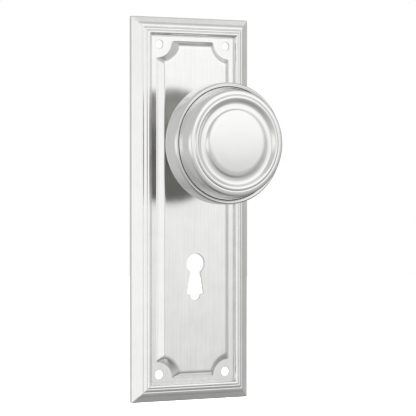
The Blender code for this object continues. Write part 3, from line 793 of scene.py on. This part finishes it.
def build_cover(material):
    """Flat cover with the journal's hole and four countersunk holes."""
    outline = rounded_rectangle(*COVER_HALF, COVER_CORNER)
    cover = stamped("cover", outline, COVER_REAR, COVER_FRONT, material)
    bore = circle(0, 0, BORE_RADIUS, BAR_STEPS)
    cutters = [hole_cutter("bore", bore, COVER_REAR, COVER_FRONT, material, ease=0.1)]
    profile = [(0, PAST), (POST_BORE, PAST), (POST_BORE, COVER_FRONT + 0.2), (SINK_RADIUS, -0.1),
               (SINK_RADIUS, -1), (0, -1)]
    for index, spot in enumerate(post_spots()):
        cutters.append(turned(f"sink_{index}", profile, material, SMALL_STEPS, True, at(*spot)))
    finish_piece(cut(cover, *cutters), "housing_cover", "plate")


def build_housing_screw(number, spot, material):
    """Countersunk screw with a thread and a straight slot."""
    profile = [(0, SCREW_TIP), (0.8, SCREW_TIP), (1.05, SCREW_TIP - 0.3)]
    profile += threaded(SCREW_RADIUS, SCREW_TIP - 0.4, COVER_FRONT + 0.35, 0.45, 0.2)
    profile += [(SCREW_RADIUS, COVER_FRONT + 0.2), (SCREW_HEAD - 0.08, COVER_REAR + 0.08),
                (SCREW_HEAD, COVER_REAR), (SCREW_HEAD, COVER_REAR - 0.07),
                (SCREW_HEAD - 0.08, COVER_REAR - 0.15), (0, COVER_REAR - 0.15)]
    screw = turned(f"cover_screw_{number}", profile, material, SMALL_STEPS, True, at(*spot))
    turn = Matrix.Rotation(math.radians(25 + 40 * number), 2)
    outline = [tuple(turn @ Vector(p)) for p in rectangle(4.0, 0.3)]
    cut(screw, block(f"driver_slot_{number}", outline, -1.0, COVER_REAR + 0.3, material, at(*spot)))
    finish_piece(screw, f"housing_screw_{number}", "plate", angle=35)


def build_rotor(material):
    """Driver: a hub on the shank's flats and an arm that swings between the stop pins."""
    front = HOUSING_FRONT - FLOOR_THICKNESS - GAP
    base = math.degrees(math.asin(ARM_HALF_WIDTH / HUB_RADIUS))
    outline = arc(0, 0, HUB_RADIUS, 90 + base, 450 - base, BAR_STEPS)
    outline += [(ARM_HALF_WIDTH, ARM_REACH - 0.6), (ARM_HALF_WIDTH - 0.6, ARM_REACH),
                (0.6 - ARM_HALF_WIDTH, ARM_REACH), (-ARM_HALF_WIDTH, ARM_REACH - 0.6)]
    rotor = stamped("rotor", outline, ARM_REAR, front, material)
    rear = COVER_FRONT + GAP
    hub_outline = circle(0, 0, HUB_RADIUS - 0.05, BAR_STEPS)
    hub = stamped("rotor_hub", hub_outline, rear, ARM_REAR + 0.3, material)
    cut(rotor, hub, operation="UNION")
    bore_outline = double_flat(JOURNAL_RADIUS + GAP, FLAT_HALF + GAP)
    bore = hole_cutter("rotor_bore", bore_outline, rear, front, material)
    notch = block("rotor_notch", rectangle(1.6, 0.75, cx=HUB_RADIUS), 0.0, ARM_REAR - 0.05, material)
    finish_piece(cut(rotor, bore, notch), "spring_rotor", "knob", angle=35)


def wire(name, path, radius, material, sides=12):
    """Round wire along a path of points in the door's terms, with closed ends."""
    points = [Vector(p) for p in path]
    verts, faces = [], []
    for i, point in enumerate(points):
        along = (points[min(i + 1, len(points) - 1)] - points[max(i - 1, 0)]).normalized()
        across = along.cross(Vector((0, 0, 1))).normalized()
        upward = across.cross(along)
        for k in range(sides):
            angle = math.tau * k / sides
            verts.append(tuple(point + (across * math.cos(angle) + upward * math.sin(angle)) * radius))
    for i in range(len(points) - 1):
        for k in range(sides):
            j = (k + 1) % sides
            faces.append((i * sides + k, i * sides + j, (i + 1) * sides + j, (i + 1) * sides + k))
    faces.append(tuple(range(sides)))
    faces.append(tuple(range(len(verts) - sides, len(verts))))
    return new_object(name, verts, faces, material)


def build_spring(material):
    """Torsion spring from the rotor's notch to the cup's slot."""
    inner_leg = ((8.5, 0.0), (9.2, 0.0), (9.9, 0.02), (10.5, 0.12))
    path = [(x, y, SPRING_FRONT) for x, y in inner_leg]
    steps = round(SPRING_TURNS * 72)
    for i in range(4, steps - 1):
        angle = math.tau * SPRING_TURNS * i / steps
        depth = SPRING_FRONT + (SPRING_REAR - SPRING_FRONT) * i / steps
        path.append((SPRING_RADIUS * math.cos(angle), SPRING_RADIUS * math.sin(angle), depth))
    bend, leg_end = -SPRING_RADIUS - 0.6, -HOUSING_RADIUS + 0.1
    path += [(-0.35, -SPRING_RADIUS - 0.05, SPRING_REAR), (-0.08, -SPRING_RADIUS - 0.3, SPRING_REAR)]
    path += [(0.0, bend + (leg_end - bend) * k / 10, SPRING_REAR) for k in range(11)]
    spring = wire("spring", path, SPRING_WIRE / 2, material)
    shade(spring)
    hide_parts("return_spring")
    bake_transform(spring)


def build_stop_pin(name, node_name, angle, material):
    """Round pin that ends the rotor's swing."""
    front = HOUSING_FRONT - FLOOR_THICKNESS - GAP
    rear = COVER_FRONT + GAP
    profile = soften([(0, front, 0), (PIN_RADIUS, front, 0.1), (PIN_RADIUS, rear, 0.3), (0, rear, 0)],
                     closed=False)
    turn = math.radians(90 + angle)
    spot = at(PIN_CIRCLE * math.cos(turn), PIN_CIRCLE * math.sin(turn))
    pin = turned(name, profile, material, SMALL_STEPS, True, spot)
    finish_piece(pin, node_name, "plate")


# ---------------------------------------------------------------- rear retention

def build_wave_washer(material):
    """Thin ring bent into three waves."""
    def wave(x, y, depth):
        return x, y, depth + WAVE_HEIGHT * math.cos(WAVE_COUNT * math.atan2(y, x)) + WAVE_DEPTH
    profile = soften([(WAVE_INNER, WAVE_HALF), (WAVE_OUTER, WAVE_HALF), (WAVE_OUTER, -WAVE_HALF),
                      (WAVE_INNER, -WAVE_HALF)], softness=0.06)
    ring = turned("wave_spring", profile, material, where=wave)
    finish_piece(ring, "wave_washer", "knob")


def build_clip(material):
    """External snap ring with two eyes at its opening."""
    start, end = -90 + CLIP_OPENING, 270 - CLIP_OPENING
    outer = arc(0, 0, CLIP_OUTER, start, end, 72)
    inner = arc(0, 0, CLIP_INNER, end, start, 72)
    right = [(-x, y) for x, y in reversed(LEFT_EAR)]
    outline = [*outer, *LEFT_EAR, *inner, *right]
    clip = stamped("snap_ring", outline, CLIP_REAR, CLIP_FRONT, material, edge=0.08)
    eyes = [block(f"eye_{side}", circle(side * EYE_X, EYE_Y, EYE_RADIUS, 24), CLIP_REAR - PAST,
                  CLIP_FRONT + PAST, material) for side in (-1, 1)]
    finish_piece(cut(clip, *eyes), "retaining_clip", "knob", angle=35)


# ---------------------------------------------------------------- stage

def aim_camera():
    """The camera, placed from the plate's middle."""
    a, e = math.radians(VIEW_AZIMUTH), math.radians(VIEW_ELEVATION)
    back = Vector((math.sin(a) * math.cos(e), -math.cos(a) * math.cos(e), math.sin(e)))
    target = Vector(VIEW_AIM) * MM + place(0, PLATE_CENTRE_Y, 0)
    data = bpy.data.cameras.new("camera")
    data.lens = VIEW_LENS
    data.shift_y = VIEW_SHIFT_Y
    data.clip_end = 20.0
    camera = bpy.data.objects.new("camera", data)
    bpy.context.scene.collection.objects.link(camera)
    camera.location = target + back * VIEW_DISTANCE * MM
    camera.rotation_euler = (-back).to_track_quat("-Z", "Y").to_euler()
    bpy.context.scene.camera = camera


# floor in millimetres; the lamp above it in metres and watts
FLOOR_Z, FLOOR_RADIUS, FLOOR_GREY = -185.0, 2500.0, 0.92
LAMP_HEIGHT, LAMP_SIZE, LAMP_POWER = 3.0, 5.0, 320.0
# the studio's plain brightness by the sine of elevation
SKY = ((-1.0, 0.12), (-0.96, 0.25), (-0.82, 0.35), (-0.57, 0.51), (-0.26, 0.62), (0.0, 0.64),
       (1.0, 0.58))
# soft boxes and dark cards: azimuth from the front towards the right, elevation, half-width and
# half-height in degrees, softness of the edge, and brightness added
SOFT_BOXES = (
    (25, 25, 28, 28, 0.22, 0.53),
    (-66, -2, 50, 13, 0.14, 0.44),
    (12, 60, 26, 13, 0.15, 0.04),
    (95, -20, 50, 22, 0.3, -0.16),
    (138, 0, 28, 40, 0.3, -0.3),
)


def soft_box(tree, where, azimuth, elevation, half_width, half_height, softness, amount):
    """Brightness of one rectangular light or card with soft edges, seen in a direction."""
    a, e = math.radians(azimuth), math.radians(elevation)
    centre = Vector((math.sin(a) * math.cos(e), -math.cos(a) * math.cos(e), math.sin(e)))
    side = Vector((math.cos(a), math.sin(a), 0.0))
    upward = side.cross(centre)
    share = []
    for axis in (centre, side, upward):
        dot = node(tree, "ShaderNodeVectorMath", operation="DOT_PRODUCT")
        tree.links.new(where, dot.inputs[0])
        dot.inputs[1].default_value = axis
        share.append(dot.outputs["Value"])
    facing = maths(tree, "MAXIMUM", share[0], 0.001)
    light = amount
    for across, half in ((share[1], half_width), (share[2], half_height)):
        reach = math.tan(math.radians(half))
        edge = node(tree, "ShaderNodeMapRange", interpolation_type="SMOOTHSTEP")
        edge.inputs["From Min"].default_value = reach + softness
        edge.inputs["From Max"].default_value = reach - softness
        tangent = maths(tree, "DIVIDE", across, facing)
        tree.links.new(maths(tree, "ABSOLUTE", tangent), edge.inputs["Value"])
        light = maths(tree, "MULTIPLY", edge.outputs[0], light)
    return light


def sky_light(tree, where):
    """The studio's plain brightness in a direction, by its height."""
    parts = node(tree, "ShaderNodeSeparateXYZ")
    tree.links.new(where, parts.inputs[0])
    height = node(tree, "ShaderNodeMapRange", from_min=-1.0, from_max=1.0)
    tree.links.new(parts.outputs["Z"], height.inputs["Value"])
    ramp = node(tree, "ShaderNodeValToRGB")
    elements = ramp.color_ramp.elements
    steps = [((level + 1) / 2, (light, light, light, 1.0)) for level, light in SKY]
    for element, (position, colour) in zip(elements, (steps[0], steps[-1])):
        element.position = position
        element.color = colour
    for position, colour in steps[1:-1]:
        elements.new(position).color = colour
    tree.links.new(height.outputs[0], ramp.inputs[0])
    return ramp.outputs["Color"]


def build_studio():
    """World light of a pale studio, darker below, with soft boxes, and white behind the object."""
    scene = bpy.context.scene
    scene.view_settings.view_transform = "Standard"
    world = bpy.data.worlds.new("studio")
    world.use_nodes = True
    scene.world = world
    tree = world.node_tree
    background = tree.nodes["Background"]
    where = node(tree, "ShaderNodeTexCoord").outputs["Generated"]
    total = sky_light(tree, where)
    for box in SOFT_BOXES:
        total = maths(tree, "ADD", soft_box(tree, where, *box), total)
    path = node(tree, "ShaderNodeLightPath")
    mix = node(tree, "ShaderNodeMix", data_type="FLOAT")
    tree.links.new(path.outputs["Is Camera Ray"], mix.inputs[0])
    tree.links.new(total, mix.inputs[2])
    mix.inputs[3].default_value = 1.0
    tree.links.new(mix.outputs[0], background.inputs["Strength"])
    background.inputs["Color"].default_value = (1.0, 1.0, 1.0, 1.0)


def build_floor():
    """A wide pale disc under the object, brightened from above."""
    verts = [(x, y, FLOOR_Z) for x, y in circle(0, 0, FLOOR_RADIUS, BAR_STEPS)]
    mesh = bpy.data.meshes.new("floor")
    mesh.from_pydata([Vector(v) * MM for v in verts], [], [tuple(range(len(verts)))])
    floor = bpy.data.objects.new("floor", mesh)
    bpy.context.scene.collection.objects.link(floor)
    material, _, shader = shader_of("floor_paint", 0.9, 0.0)
    shader.inputs["Base Color"].default_value = (FLOOR_GREY, FLOOR_GREY, FLOOR_GREY, 1.0)
    floor.data.materials.append(material)
    floor.visible_glossy = False
    lamp = bpy.data.lights.new("floor_light", "AREA")
    lamp.shape = "DISK"
    lamp.size = LAMP_SIZE
    lamp.energy = LAMP_POWER
    light = bpy.data.objects.new("floor_light", lamp)
    bpy.context.scene.collection.objects.link(light)
    light.location = (0.0, 0.0, LAMP_HEIGHT)
    light.visible_glossy = False
    light.visible_camera = False


def main():
    """Builds every piece, then the camera, the studio and the floor."""
    brushed = satin_nickel_plate()
    spun = satin_nickel_turned()
    zinc = zinc_steel()
    dark = spring_steel()
    plastic = nylon()

    build_plate(brushed, forged_back())
    build_collar(spun)
    build_bush(plastic)
    build_washer("spacer", "spacer_washer", SPACER_RADIUS, SPACER_REAR, SPACER_FRONT, plastic)
    build_shells(spun, bowl_nickel_painted_shade())
    build_shank(spun)
    build_set_screw(dark)
    build_spindle(drawn_steel())
    build_cup(zinc)
    build_cover(zinc)
    for index, spot in enumerate(post_spots()):
        build_housing_screw(index + 1, spot, zinc)
    build_rotor(cast_zinc())
    build_spring(dark)
    build_stop_pin("pin_left", "stop_pin_left", PIN_ANGLE, zinc)
    build_stop_pin("pin_right", "stop_pin_right", -PIN_ANGLE, zinc)
    build_wave_washer(dark)
    build_washer("thrust_washer", "clip_washer", CLIP_WASHER_RADIUS, CLIP_WASHER_REAR,
                 CLIP_WASHER_FRONT, zinc)
    build_clip(dark)

    aim_camera()
    build_studio()
    build_floor()


main()
